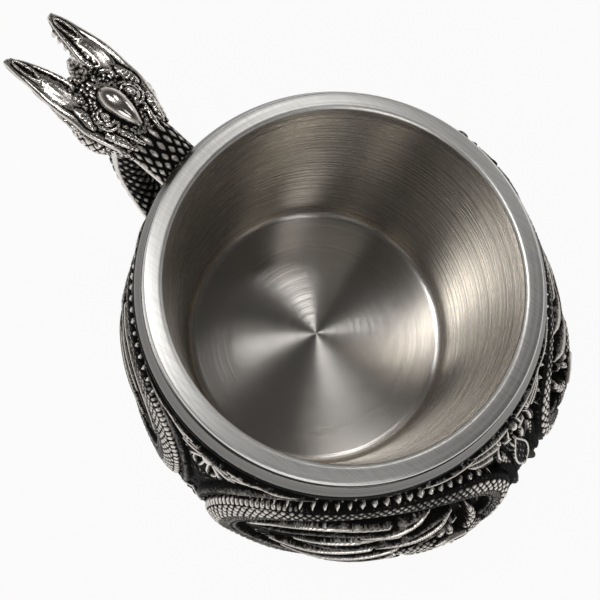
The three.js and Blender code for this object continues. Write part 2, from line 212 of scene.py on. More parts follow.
for lamp in LAMPS:
    softbox(*lamp)
print("lamps:", [lamp[0] for lamp in LAMPS])

# %% [markdown]
# ## Turned pieces
# Cup, collar, seal and pad are all spun or turned, so each is a profile carried round the axis. A Screw
# modifier could do it. Writing the rings as a grid also gives the relief body and the swept handle
# later, so one grid helper serves them all.

# %% Grid mesh helper
def mark_silver(mesh, shade):
    """Gives each point of a mesh its number for the antique silver finish."""
    mark = mesh.attributes.new("silver", "FLOAT", "POINT")
    mark.data.foreach_set("value", np.asarray(shade, np.float32).reshape(-1))


def grid_piece(name, rows, finishes, slots=None, shade=None, loop=False):
    """Mesh from points in mm [row, column, xyz], closed round the columns. Both ends are capped, or
    with loop the last row joins the first. Slots give the finish of each band of a capped mesh."""
    rows = np.asarray(rows, float)
    count, around = rows.shape[:2]
    low = np.arange(count if loop else count - 1)[:, None] * around
    high = (low + around) % (count * around)
    here = np.arange(around)
    step = (here + 1) % around
    quads = np.stack([low + here, low + step, high + step, high + here], -1).reshape(-1, 4)
    corners, sizes = quads.ravel(), np.full(len(quads), 4)
    if not loop:
        corners = np.concatenate([corners, here[::-1], (count - 1) * around + here])
        sizes = np.append(sizes, [around, around])
    starts = np.concatenate([[0], np.cumsum(sizes)[:-1]])
    mesh = bpy.data.meshes.new(name)
    mesh.vertices.add(count * around)
    mesh.vertices.foreach_set("co", (rows * MM).reshape(-1).astype(np.float32))
    mesh.loops.add(len(corners))
    mesh.loops.foreach_set("vertex_index", corners.astype(np.int32))
    mesh.polygons.add(len(starts))
    mesh.polygons.foreach_set("loop_start", starts.astype(np.int32))
    mesh.polygons.foreach_set("loop_total", sizes.astype(np.int32))
    for finish in finishes:
        mesh.materials.append(finish)
    if slots is not None:
        owner = np.append(np.repeat(slots, around), [slots[0], slots[-1]])
        mesh.polygons.foreach_set("material_index", owner.astype(np.int32))
    if shade is not None:
        mark_silver(mesh, shade)
    mesh.update(calc_edges=True)
    mesh.validate()
    mesh.shade_smooth()
    print(name, len(mesh.vertices), "points", len(mesh.polygons), "faces")
    return add_object(name, mesh)


def ring_rows(profile, around):
    """Rings of points round the axis for a profile of (radius, height) in mm."""
    angle = np.arange(around) * 2 * np.pi / around
    profile = np.asarray(profile, float)
    x = profile[:, :1] * np.cos(angle)
    y = profile[:, :1] * np.sin(angle)
    z = np.repeat(profile[:, 1:2], around, 1)
    return np.stack([x, y, z], -1)


def arc(r, z, radius, start, stop, steps):
    turn = np.radians(np.linspace(start, stop, steps + 1))
    return [(r + radius * math.cos(t), z + radius * math.sin(t)) for t in turn]


print("grid helpers ready")

# %% [markdown]
# ## Brushed steel
# The cup is spun and then brushed while it turns, so its marks run in rings round the axis and light is
# thrown across them in fans. The shader's own anisotropy does that once it knows the ring direction.
# A noise that is stretched along the rings adds the fine lines, on floor and wall alike.

# %% Steel finish
LINE_RANGE = (0.36, 0.64)


def ring_lines(tree, density):
    """Noise that is long round the axis and fine across it."""
    xyz = put(tree, "SeparateXYZ", {0: object_place(tree)}).outputs
    flat = put(tree, "CombineXYZ", {"X": xyz["X"], "Y": xyz["Y"]}).outputs[0]
    radius = put(tree, "VectorMath", {0: flat}, operation="LENGTH").outputs["Value"]
    around = put(tree, "VectorMath", {0: flat}, operation="NORMALIZE").outputs[0]
    aim = put(tree, "SeparateXYZ", {0: around}).outputs
    across = math_node(tree, "SUBTRACT", radius, xyz["Z"])
    across = math_node(tree, "MULTIPLY", across, density)
    slow = [math_node(tree, "MULTIPLY", aim[axis], 0.5) for axis in ("X", "Y")]
    place = put(tree, "CombineXYZ", {"X": across, "Y": slow[0], "Z": slow[1]}).outputs[0]
    return noise(tree, place, 1.0, 3.0)


def spun_steel(name, colour, rough, stretch, fine=3000, coarse=1600, depth=0.015):
    finish, tree, shader = new_finish(name)
    thin, broad = ring_lines(tree, fine), ring_lines(tree, coarse)
    lines = math_node(tree, "MULTIPLY_ADD", broad, 0.35, math_node(tree, "MULTIPLY", thin, 0.65))
    dark = [c * 0.86 for c in colour] + [1]
    light = [min(1, c * 1.08) for c in colour] + [1]
    bump = put(tree, "Bump", {"Strength": depth, "Distance": 0.0002, "Height": lines})
    tangent = put(tree, "Tangent", direction_type="RADIAL", axis="Z")
    fill(tree, shader, {
        "Base Color": two_tone(tree, spread(tree, lines, *LINE_RANGE), dark, light),
        "Roughness": spread(tree, lines, *LINE_RANGE, rough + 0.05, rough - 0.03),
        "Normal": bump.outputs[0], "Tangent": tangent.outputs[0], "Metallic": 1.0,
        "Anisotropic": stretch, "Anisotropic Rotation": 0.25})
    return finish


floor_steel = spun_steel("floor_steel", (0.70, 0.667, 0.628), 0.22, 0.98)
# The wall's steel is painted darker and warmer than the floor's: painted shade on the same sheet.
shaded_wall_steel = spun_steel("shaded_wall_steel", (0.60, 0.56, 0.503), 0.25, 0.96)
print("steel finishes:", floor_steel.name, shaded_wall_steel.name)

# %% [markdown]
# The flat rim was brushed in rings too, and then wiped over on a belt. The wipe left faint straight
# scratches at one slant. A noise stretched along that slant is laid over the ring colour for them.

# %% Rim finish
SCRATCH_SLANT = math.radians(8)
SCRATCH_STRETCH = (120, 5200, 120)
SCRATCH_TONE = (0.62, 0.605, 0.58, 1)
# The rim's steel is painted paler than the floor's: a painted highlight on the same sheet.
lit_rim_steel = spun_steel("lit_rim_steel", (0.86, 0.845, 0.82), 0.37, 0.45, fine=3400, coarse=900)
tree = lit_rim_steel.node_tree
shader = tree.nodes["Principled BSDF"]
ring_tone = shader.inputs["Base Color"].links[0].from_socket
slanted = {"Vector": object_place(tree), "Rotation": (0, 0, SCRATCH_SLANT), "Scale": SCRATCH_STRETCH}
scratch = noise(tree, put(tree, "Mapping", slanted).outputs[0], 1.0, 4.0)
wiped = spread(tree, scratch, 0.42, 0.66, 0.0, 0.6)
fill(tree, shader, {"Base Color": two_tone(tree, wiped, ring_tone, SCRATCH_TONE)})
print("rim finish:", lit_rim_steel.name)

# %% [markdown]
# ## Steel liner
# A deep-drawn cup: a flat floor, a small fillet, a wall that opens a little towards the mouth, and a rim
# folded out flat. The profile runs from the middle of the floor up the inside, over the rim and down the
# outside, so the sheet has its real thickness when the cup is lifted out.

# %% Liner
LINER_FLOOR_Z = 11.8
LINER_SHEET = 0.8
LINER_FILLET = 3.2
LINER_FOOT_R = 41.4
LINER_TAPER = 1.9
RIM_R = 48.0
RIM_Z = 86.0
RIM_THICK = 1.6
RIM_ROUND = 1.1
RIM_EDGE = 0.7
AXIS_R = 0.4
FLOOR_BANDS = 9
ROUND_BANDS = 5

liner_under_z = LINER_FLOOR_Z - LINER_SHEET
foot_z = LINER_FLOOR_Z + LINER_FILLET
fillet_r = LINER_FOOT_R - LINER_FILLET
mouth_z = RIM_Z - RIM_ROUND
mouth_r = LINER_FOOT_R + LINER_TAPER
edge_r = RIM_R - RIM_EDGE
rim_under_z = RIM_Z - RIM_THICK
liner_profile = [(r, LINER_FLOOR_Z) for r in (AXIS_R, 6, 14, 22, 30)]
liner_profile += arc(fillet_r, foot_z, LINER_FILLET, -90, 0, 8)
for t in np.linspace(0.04, 1, 26):
    liner_profile.append((LINER_FOOT_R + LINER_TAPER * t, foot_z + (mouth_z - foot_z) * t))
liner_profile += arc(mouth_r + RIM_ROUND, mouth_z, RIM_ROUND, 180, 90, 7)
rim_start = len(liner_profile) - 1
liner_profile += [(45.4, RIM_Z), (46.4, RIM_Z)]
liner_profile += arc(edge_r, RIM_Z - RIM_EDGE, RIM_EDGE, 90, 0, 5)
liner_profile += arc(edge_r, rim_under_z + RIM_EDGE, RIM_EDGE, 0, -90, 5)
rim_stop = len(liner_profile)
liner_profile += [(44.1, rim_under_z), (43.8, 70), (43.2, 45), (42.4, 18)]
liner_profile += arc(fillet_r, foot_z, LINER_FILLET + LINER_SHEET, 0, -90, 8)
liner_profile += [(20, liner_under_z), (AXIS_R, liner_under_z)]
steels = [floor_steel, shaded_wall_steel, lit_rim_steel]
slots = np.full(len(liner_profile) - 1, steels.index(shaded_wall_steel))
slots[:FLOOR_BANDS] = steels.index(floor_steel)
slots[rim_start - ROUND_BANDS:rim_stop] = steels.index(lit_rim_steel)
liner = grid_piece("liner_cup", ring_rows(liner_profile, 320), steels, slots)
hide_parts("steel_liner")
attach(liner, "liner")

# %% [markdown]
# ## Seal ring
# A soft ring sits under the rim and shows as one dark line. It is turned with a round lip, and its rubber
# is matt with a faint mottle.

# %% Seal ring
SEAL_UNDER_Z = 83.3
SEAL_TOP_Z = 84.2
SEAL_ROUND = 0.45
rubber, tree, shader = new_finish("seal_rubber")
mottle = noise(tree, object_place(tree), 900.0, 3.0)
fill(tree, shader, {
    "Base Color": two_tone(tree, mottle, (0.010, 0.010, 0.011, 1), (0.030, 0.030, 0.031, 1)),
    "Roughness": spread(tree, mottle, 0.3, 0.7, 0.62, 0.8)})
seal_profile = [(45.2, 83.5), (45.3, 83.32), (46.4, SEAL_UNDER_Z)]
seal_profile += arc(46.75, SEAL_UNDER_Z + SEAL_ROUND, SEAL_ROUND, -90, 90, 8)
seal_profile += [(46.4, SEAL_TOP_Z), (45.3, 84.18), (45.2, 84.0)]
seal = grid_piece("seal_lip", ring_rows(seal_profile, 200), [rubber], loop=True)
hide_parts("seal_ring")
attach(seal, "liner")

# %% [markdown]
# ## Collar
# A smooth flared band of steel covers the mouth of the casting. It is turned like the cup, but polished
# finer, so its lines are faint.

# %% Collar
# The collar's steel is painted much darker than the cup's: painted shade in place of its dim reflection.
COLLAR_SHADED_TONE = (0.19, 0.185, 0.176)
collar_steel = spun_steel("collar_steel", COLLAR_SHADED_TONE, 0.24, 0.5, fine=4200, coarse=1500, depth=0.02)
collar_profile = [(45.0, 82.2), (47.6, 82.2), (48.2, 81.8), (49.6, 80.5), (50.1, 80.42), (50.5, 80.55)]
collar_profile += [(50.2, 81.0), (49.5, 81.8), (48.9, 82.5)] + arc(48.3, 82.65, 0.45, 20, 90, 5)
collar_profile += [(46.5, 83.1), (45.0, 83.1)]
collar = grid_piece("collar_ring", ring_rows(collar_profile, 320), [collar_steel], loop=True)
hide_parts("collar_band")
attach(collar, "tankard")

# %% [markdown]
# ## Antique silver
# The casting is plated, blackened, and rubbed back, so the high places shine and the hollows stay dark.
# Baking a pointiness map could show this, but that needs a render. Here each mesh carries a number per
# point, called silver, worked out from the form it lies on and from how far it stands above its
# surroundings. The finish turns that number into colour, metal and roughness, with a fine grit to break
# the edge.

# %% Antique silver finish
# On leaf edges the silver number also carries a painted highlight, drawn in the rubbed colour.
BLACKENED = (0.005, 0.0045, 0.004, 1)
RUBBED_AND_LIT = (0.70, 0.658, 0.612, 1)


def antique_silver(name, low, high, polish=0.24):
    """Black where the silver number is under low, and bright metal where it is over high."""
    finish, tree, shader = new_finish(name)
    coords = object_place(tree)
    rubbed_and_lit = put(tree, "Attribute", attribute_name="silver").outputs["Fac"]
    grit, patch = noise(tree, coords, 1400.0, 4.0), noise(tree, coords, 160.0, 3.0)
    for texture, weight in ((grit, 0.6), (patch, 0.3)):
        rubbed_and_lit = math_node(tree, "MULTIPLY_ADD", math_node(tree, "SUBTRACT", texture, 0.5), weight, rubbed_and_lit)
    shine = spread(tree, rubbed_and_lit, low, high)
    worn = math_node(tree, "MULTIPLY_ADD", grit, 0.12, spread(tree, shine, 0.0, 1.0, 0.5, polish - 0.06))
    bump = put(tree, "Bump", {"Strength": 0.25, "Distance": 0.00012, "Height": grit})
    fill(tree, shader, {
        "Base Color": two_tone(tree, shine, BLACKENED, RUBBED_AND_LIT), "Metallic": shine, "Roughness": worn,
        "Normal": bump.outputs[0], "Specular IOR Level": 0.04})
    return finish


cast_silver = antique_silver("cast_silver", 0.3, 0.85)
print("finish:", cast_silver.name)

# %% [markdown]
# ## Relief: drawing tools
# The relief is drawn like low carving on a flat sheet, one quarter of the wall, and then mirrored round
# the body. Sculpting by hand would not repeat exactly. Each form is a line with a width and a rise, and
# every point of the sheet looks up its nearest place on that line.

# %% Lines on the sheet
TRACE_MARGIN = 4.0


def smooth_line(points, per):
    """Catmull-Rom curve through rows of numbers."""
    p = np.array(points, float)
    p = np.vstack([2 * p[0] - p[1], p, 2 * p[-1] - p[-2]])
    t = np.linspace(0, 1, per, endpoint=False)[:, None]
    parts = []
    for a, b, c, d in zip(p[:-3], p[1:-2], p[2:-1], p[3:]):
        parts.append(0.5 * (2 * b + (c - a) * t + (2 * a - 5 * b + 4 * c - d) * t**2
                            + (3 * b - a - 3 * c + d) * t**3))
    return np.vstack(parts + [p[-2:-1]])


def directions(line):
    """Unit steps along a line of points."""
    way = np.gradient(line, axis=0)
    return way / np.linalg.norm(way, axis=1)[:, None]


def distances(line):
    """How far along a line each of its points lies."""
    return np.concatenate([[0], np.cumsum(np.hypot(*np.diff(line, axis=0).T))])


def follow(u, z, points, per=20):
    """For each point: distance along, signed distance across, distance off, half width, rise, length."""
    line = smooth_line(points, per)
    way, along = directions(line[:, :2]), distances(line[:, :2])
    best, near = np.full(u.shape, 1e9), np.zeros(u.shape, int)
    for i, (a, b) in enumerate(line[:, :2]):
        off = (u - a)**2 + (z - b)**2
        closer = off < best
        best[closer] = off[closer]
        near[closer] = i
    du, dz = u - line[near, 0], z - line[near, 1]
    run = along[near] + du * way[near, 0] + dz * way[near, 1]
    across = dz * way[near, 0] - du * way[near, 1]
    return run, across, np.sqrt(best), line[near, 2], line[near, 3], along[-1]


def trace(points):
    """The part of the sheet near a line, as slices, and what follow gives there."""
    p = np.array(points, float)
    reach = p[:, 2].max() + TRACE_MARGIN
    u0, u1 = np.searchsorted(SHEET_U, [p[:, 0].min() - reach, p[:, 0].max() + reach])
    z0, z1 = np.searchsorted(SHEET_Z, [p[:, 1].min() - reach, p[:, 1].max() + reach])
    near = (slice(u0, u1), slice(z0, z1))
    return near, *follow(U[near], Z[near], points)


print("line tools ready")

# %% Carving strokes
def ramp(value, start, stop):
    t = np.clip((value - start) / (stop - start), 0, 1)
    return t * t * (3 - 2 * t)


def diamonds(run, across, pitch, cross):
    a = np.abs((run / pitch + across / cross) % 1 - 0.5) * 2
    b = np.abs((run / pitch - across / cross) % 1 - 0.5) * 2
    return (1 - a**3) * (1 - b**3)


def ribs(run, pitch):
    return np.abs(np.cos(np.pi * run / pitch))


def lay_over(near, layer, gloss, off, gap=0.8, depth=1.0):
    """Sets a raised form on the sheet in a dark groove, and notes how bright it is: rubbed, and on leaves
    also painted highlight.
    """
    groove = np.clip(1 - off / gap, 0, 1) * (off > 0)
    ground = sheet[near] - depth * groove * np.clip((sheet[near] + 0.4) / 1.5, 0, 1)
    sheet[near] = np.where(off <= 0, np.maximum(layer, 0), ground)
    gleam[near] = np.where(off <= 0, gloss, gleam[near] * (1 - groove))


def leaf(points, under=0.3):
    """A dark veined blade with a mid rib and a raised edge, rubbed bright, plus a painted highlight above
    and less of it below.
    """
    near, run, across, off, half, rise, _ = trace(points)
    edge = np.exp(-((half - np.abs(across) - 0.4) / 0.4)**2)
    rib = np.exp(-(across / 0.25)**2) * ramp(half, 0.9, 1.5)
    vein = ribs(across, 0.8)**4 * (0.5 + 0.5 * np.sin(run * 1.7 + 3 * across)) * (1 - edge)
    layer = rise * (0.4 + 0.6 * edge + 0.2 * rib) + 0.18 * vein
    # Painted highlight: full on the upper edge, only the under share of it on the lower edge.
    lit_upper_edge = under + (1 - under) * ramp(across, -0.3, 0.3)
    gloss = np.clip(edge**3 * lit_upper_edge + 0.6 * vein, 0, 1)
    lay_over(near, layer, gloss, off - half, 1.1, 1.4)


def limb(points, scales=0.0, gap=0.8, depth=1.0):
    """A round limb, horn, claw or jaw, with scales if asked."""
    near, run, across, off, half, rise, _ = trace(points)
    crest = np.sqrt(1 - np.clip(off / half, 0, 1)**2)
    scale = diamonds(run, across, 1.5, 1.3) * (crest > 0.5)
    layer = rise * (0.45 + 0.55 * crest) + scales * scale
    gloss = crest * (0.05 + 0.75 * scale) if scales else 0.9 * crest**3
    lay_over(near, layer, gloss, off - half, gap, depth)


def band(points, shine):
    """A smooth roll of one brightness."""
    near, _, _, off, half, rise, _ = trace(points)
    crest = np.sqrt(1 - np.clip(off / half, 0, 1)**2)
    lay_over(near, rise * (0.3 + 0.7 * crest), shine * crest, off - half)


print("strokes ready")

# %% [markdown]
# ## Relief: leaves, wing and dragon
# One quarter holds a dragon bent like a hairpin, with its tail low in front, its back following the
# collar, and its head tucked inside the bend. A wing of long feathers fills the bend, with leaves and
# sprigs around it. The ground between is hatched with fine flowing lines. Each number group is degrees
# from the front, height, half width and rise.

# %% Sheet with a hatched ground
QUARTER = 90
SHEET_STEP = 0.25
WALL_LOW = 7.0
WALL_TOP = 78.8
SHEET_U = np.linspace(0, QUARTER, round(QUARTER / SHEET_STEP) + 1)
SHEET_Z = np.linspace(WALL_LOW, WALL_TOP, 340)
U, Z = np.meshgrid(SHEET_U, SHEET_Z, indexing="ij")
flow = np.sin(1.15 * U + 2.4 * np.sin(0.31 * Z + 0.4) + 1.3 * np.sin(0.23 * U + 0.53 * Z))
hair = np.exp(-(flow / 0.26)**2) * (0.5 + 0.5 * np.sin(Z * 1.1 + 2 * np.sin(U * 0.6)))
sheet = 0.6 * hair + 0.1 * np.sin(U * 2.9 + 1.6 * np.sin(Z * 1.9)) * np.sin(Z * 3.1 + 1.6 * np.sin(U * 1.5))
gleam = 0.6 * hair
print(f"sheet: {sheet.shape}, ground up to {sheet.max():.2f} mm")

# %% Leaves and sprigs
LEAVES = [
    [(88, 10, 1.6, 1.6), (82, 14, 1.9, 2.2), (80, 20, 1.4, 1.8), (83.5, 25, 0.3, 0.8)],
    [(76, 9.5, 1.5, 1.6), (70, 12.5, 1.9, 2.2), (67.5, 17.5, 1.3, 1.8), (71, 22, 0.3, 0.8)],
    [(64, 9.5, 1.5, 1.6), (57.5, 11.5, 1.9, 2.2), (53, 15.5, 1.3, 1.8), (54.5, 19.5, 0.3, 0.8)],
    [(50, 9, 1.4, 1.6), (44, 10.5, 1.8, 2.2), (38.5, 13.5, 1.2, 1.8), (38, 17, 0.3, 0.8)],
    [(90, 26, 1.2, 1.4), (87.4, 32, 1.6, 2), (88.5, 38, 1.1, 1.6), (90, 43, 0.4, 0.8)],
    [(1, 60, 0.4, 2), (3, 64, 1.1, 2.6), (3.2, 69, 0.9, 2.4), (1.2, 73, 0.3, 1.2)],
    [(2, 66, 0.4, 2), (8, 69.5, 1, 2.4), (13, 72, 0.8, 2.2), (18, 73.2, 0.3, 1.2)],
    [(7, 65, 0.4, 1.6), (10.5, 67, 0.8, 2.2), (14, 68.4, 0.7, 2), (17, 70.6, 0.25, 1)],
    [(2, 72, 0.4, 1.6), (7, 74.6, 0.8, 2), (12.5, 76, 0.7, 1.6), (18, 76.4, 0.25, 1)],
    [(14, 75, 0.3, 1.4), (20, 75.4, 0.7, 1.8), (26, 75.2, 0.6, 1.6), (32, 76, 0.25, 1)],
    [(5.5, 60, 0.3, 1.6), (7.2, 63, 0.8, 2.2), (7, 66.4, 0.7, 2), (5, 68.8, 0.25, 1)],
    [(3, 51.5, 0.6, 1.2), (5.4, 46, 2.4, 1.8), (5.8, 38, 2.6, 2.2), (3, 30.5, 0.5, 1.6)],
    [(2.5, 30, 0.5, 2), (6.6, 25, 1.5, 2.6), (12, 21.6, 1.2, 2.2), (19, 20.5, 0.3, 1)],
    [(9, 38, 0.5, 2), (11, 32.5, 1.9, 2.8), (13.5, 28, 1.5, 2.4), (18.5, 25.6, 0.3, 1.2)],
    [(20, 26, 0.5, 1.8), (27, 26.4, 1.5, 2.4), (34, 28.6, 1.3, 2.2), (41, 33, 0.3, 1)],
    [(44, 29, 0.5, 1.8), (51, 29.8, 1.4, 2.4), (58, 32.6, 1.2, 2.2), (64, 37, 0.3, 1)],
    [(88.5, 75.5, 0.4, 1.8), (84, 76.2, 1.2, 2.2), (79, 76.2, 1, 2), (74.5, 75.4, 0.3, 1)],
    [(82, 77.4, 0.3, 1.4), (76, 77.2, 0.8, 1.8), (70, 77.2, 0.7, 1.6), (63, 77, 0.25, 1)],
    [(89, 73.5, 0.5, 2), (86, 70, 1.3, 2.4), (85.5, 66, 1, 2), (87.5, 62, 0.3, 1)],
    [(88.5, 72.6, 0.4, 1.8), (84, 73.4, 0.9, 2.2), (80, 73, 0.8, 1.8), (76.5, 71.6, 0.25, 1)],
]
SPRIGS = [
    [(88, 74, 0.5, 2.2), (84, 72, 0.6, 2.4), (81, 68.6, 0.25, 1.4)],
    [(88, 72, 0.5, 2.2), (85.6, 68.6, 0.6, 2.4), (84.6, 65, 0.25, 1.4)],
    [(86, 75, 0.4, 2), (81, 74.6, 0.55, 2.2), (76, 72.8, 0.25, 1.2)],
    [(84, 76.6, 0.4, 1.8), (78, 76.2, 0.5, 2), (72, 75, 0.25, 1.2)],
    [(76, 77, 0.4, 1.6), (70, 76.6, 0.45, 1.8), (64, 75.6, 0.25, 1)],
    [(89.4, 70, 0.5, 2), (89, 66, 0.5, 2.2), (88.4, 62, 0.25, 1.2)],
]
for points in LEAVES:
    leaf(points)
for points in SPRIGS:
    limb(points)
print(f"leaves and sprigs: {len(LEAVES + SPRIGS)}, highest {sheet.max():.2f} mm")

# %% Wing and legs
FEATHERS = [
    [(31, 48.8, 0.8, 2), (37, 41.6, 1.8, 2.8), (45, 36.4, 1.6, 2.6), (53, 34, 0.4, 1.4)],
    [(31, 50.6, 0.8, 2.2), (40, 45.6, 1.9, 3), (52, 41, 1.8, 2.8), (63.5, 38.8, 0.4, 1.4)],
    [(31, 52.6, 0.8, 2.2), (42, 50, 1.9, 3), (55, 46.8, 1.8, 2.8), (67, 45, 0.4, 1.4)],
    [(31, 54.6, 0.8, 2.2), (42, 54.4, 1.7, 3), (53, 53, 1.6, 2.8), (61.5, 51.2, 0.4, 1.4)],
    [(31, 57.5, 0.8, 2.2), (42, 60, 1.6, 3), (56, 60.4, 1.8, 3), (66, 57, 1.7, 2.6),
     (72.5, 50.5, 0.6, 1.4)],
]
COVERTS = [
    [(46, 56.8, 0.5, 2.4), (39, 58.2, 1.4, 3.4), (33, 61.2, 1.7, 3.4), (29, 62.6, 0.5, 2.2)],
    [(42, 50.6, 0.5, 2.4), (34, 53.6, 1.8, 3.6), (27.5, 56.6, 1.9, 3.6), (23.5, 58.4, 0.5, 2.4)],
    [(38, 44.6, 0.5, 2.2), (32, 48.8, 1.6, 3.4), (26.5, 52, 1.6, 3.4), (22.5, 53.4, 0.5, 2.2)],
]
LEG = [(10.5, 46, 2.6, 2.8), (13, 39, 2.6, 3.2), (19, 35, 2.4, 3.2), (25, 34, 1.8, 2.8)]
NAPE = [(5.6, 45.5, 1.2, 1.4), (5.6, 50.5, 2.2, 2), (6, 56.5, 2.2, 2), (5.2, 62, 0.7, 1.2)]
CLAWS = [
    [(24, 34, 1.2, 2.8), (28.5, 36, 0.9, 2.6), (31.5, 35.4, 0.25, 1.4)],
    [(24, 34, 1.2, 2.8), (29.5, 33.2, 0.9, 2.6), (32.6, 31.4, 0.25, 1.4)],
    [(24, 34, 1.2, 2.8), (27.6, 31, 0.9, 2.6), (29.6, 28.4, 0.25, 1.4)],
]
for points in FEATHERS + COVERTS:
    leaf(points)
limb(LEG, 0.35)
limb(NAPE, 0.35)
for points in CLAWS:
    limb(points)
print("feathers:", len(FEATHERS) + len(COVERTS), "claws:", len(CLAWS))

# %% Dragon body
DRAGON = [
    (8, 13, 0.8, 0.8), (20, 15.5, 2, 1.6), (34, 19.5, 3.2, 2.2), (50, 23, 4.2, 2.6), (64, 27, 4.8, 3),
    (74.5, 33.5, 5, 3.2), (80, 43, 4.8, 3.3), (79.5, 52, 4.6, 3.3), (75, 59.5, 4.4, 3.2),
    (67.5, 65, 3.8, 3), (58, 68, 3.2, 2.7), (47, 69.3, 2.8, 2.5), (36, 68.3, 2.9, 2.5),
    (26, 65.4, 3, 2.6), (18, 62, 3.2, 2.7), (12, 57.5, 3.4, 2.8), (9.5, 51.5, 3.6, 2.8),
    (12.5, 45.8, 3.8, 2.9), (19.5, 44.6, 4, 3.2),
]
LIP = [
    (60, 75.2, 0.3, 0.8), (69, 72.8, 1.3, 1.6), (78, 66, 1.9, 2), (83.8, 57, 2, 2.2), (87, 47, 1.7, 2),
    (85, 38, 0.8, 1.2),
]
DRAGON_STEPS = 24
THORNS_FROM = (72.0, 62.0)
THORNS_FULL = (58.0, 68.0)
BEAD_PITCH = 1.35
END_MARGIN = 0.02
band(LIP, 0.34)
run, across, off, half, rise, total = follow(U, Z, DRAGON, DRAGON_STEPS)
outer = -across / half
fine = np.clip(half / 3.4, 0.25, 1)
past_end = (run <= END_MARGIN) | (run >= total - END_MARGIN)
wide_scale = diamonds(run, across, 2.1, 1.9) * ramp(outer, -0.2, -0.1) * ramp(outer, 0.7, 0.62)
mesh_scale = diamonds(run, across, 1.1, 1.0) * ramp(outer, -0.74, -0.68) * ramp(outer, -0.14, -0.2)
thorn_u, thorn_z = np.array([THORNS_FROM, THORNS_FULL]).T
thorns = ramp(run, *follow(thorn_u, thorn_z, DRAGON, DRAGON_STEPS)[0])
bead = ribs(run, BEAD_PITCH) * ramp(outer, 0.68, 0.76) * ramp(outer, 1.0, 0.95) * (1 - 0.8 * thorns)
lip = np.exp(-((outer + 0.88) / 0.1)**2)
back = rise * (0.35 + 0.65 * np.sqrt(np.clip(1 - outer**2, 0, 1)))
back += fine * (0.5 * wide_scale + 0.25 * mesh_scale + 0.5 * bead + 0.4 * lip)
plain = thorns * ramp(U, 13, 22)
back_gloss = (0.8 - 0.3 * plain) * wide_scale + (0.55 - 0.2 * plain) * mesh_scale + 0.95 * bead + 0.4 * lip
back_gloss = np.clip(back_gloss, 0, 1)
print(f"dragon length on the wall: {total:.1f} mm")

# %% Spines along the back, then the body over them
SPINE_PITCH = 3.0
SPINE_LEAN = 0.35
TRENCH = 0.8
FAR_OFF = 9
in_front = ramp(U, 34, 18)
length = fine * (1.5 + 2.0 * thorns - 0.9 * in_front * thorns)
beyond = -across - 0.92 * half
lean = run - SPINE_LEAN * beyond
aside = np.abs(lean - np.round(lean / SPINE_PITCH) * SPINE_PITCH)
width = (0.95 - 0.25 * in_front) * ramp(U, 9, 17) * np.clip(1 - beyond / length, 0, 1)
reach = off < half + length
on_spine = (beyond > -0.3) & (beyond < length) & (aside < width) & reach & ~past_end
crest = 1 - aside / np.maximum(width, 1e-3)
spine = (2.8 - 0.9 * np.clip(beyond / length, 0, 1)) * fine * (0.35 + 0.65 * crest)
trench = (beyond > 0) & (beyond < length + TRENCH) & (off < half + length + 1)
sheet = np.where(trench, sheet - TRENCH * np.clip(1 - beyond / (length + TRENCH), 0, 1), sheet)
gleam = np.where(trench, gleam * 0.2, gleam)
sheet = np.where(on_spine, np.maximum(sheet, spine), sheet)
gleam = np.where(on_spine, 0.15 + 0.85 * crest, gleam)
outside = np.where(past_end & (off > half), FAR_OFF, off - half)
lay_over(slice(None), back, back_gloss, outside, 0.9, 1.2)
print("spines:", int(total / SPINE_PITCH))

# %% Dragon head on the wall, and beads
TONGUE_LINE = [(28, 44, 0.9, 2.2), (33.5, 43.8, 0.7, 2.6), (38.5, 45, 0.3, 2.2)]
LOWER_JAW = [(24, 43.2, 2.6, 3.4), (29, 40.8, 2, 3.4), (33.2, 40.2, 1.2, 3), (35, 41.2, 0.4, 2.6)]
SKULL = [(19.5, 45, 4.1, 3.6), (22, 45.4, 4.4, 4.2), (25, 45.4, 4, 4.2)]
UPPER_JAW = [(24.5, 46.2, 3.2, 4), (30, 47.4, 2.5, 4), (35, 47.4, 1.7, 3.6), (37.6, 46.2, 0.5, 2.8)]
HORNS = [
    [(21.5, 48, 1.5, 3.8), (19, 51, 1.3, 3.6), (18.4, 54, 0.9, 3.2), (19, 56.4, 0.25, 2.4)],
    [(25.5, 48.8, 1, 3.8), (24.4, 51, 0.8, 3.6), (25, 53, 0.25, 2.8)],
]
BROW = [(21.5, 48.4, 0.8, 4.9), (25, 49, 0.9, 5), (28.5, 47.9, 0.5, 4.8)]
CREST = [(0, 47.5, 0.6, 1.2), (0, 52, 2.4, 1.5), (0, 57, 2.6, 1.7), (0, 62, 0.6, 1.4)]
BEADS = [
    (90, 75.4, 2.2, 3.2), (24.8, 46.8, 1.1, 5), (0, 70.6, 1.3, 2.8), (6.5, 71.8, 0.8, 2.6),
    (82.4, 74.8, 0.6, 2),
]
limb(TONGUE_LINE)
limb(LOWER_JAW, 0.2)
limb(SKULL, 0.3, 0.5, 0.5)
limb(UPPER_JAW, 0.2, 0.5, 0.6)
for points in HORNS:
    limb(points, 0.3)
limb(BROW, 0.0, 0.4, 0.5)
leaf(CREST, under=1.0)
for at, level, radius, rise in BEADS:
    off = np.hypot(U - at, Z - level)
    crest = np.sqrt(np.clip(1 - (off / radius)**2, 0, 1))
    lay_over(slice(None), rise * (0.45 + 0.55 * crest), 0.2 + 0.8 * crest**2, off - radius, 0.7, 1.0)
print(f"relief from {sheet.min():.2f} to {sheet.max():.2f} mm")

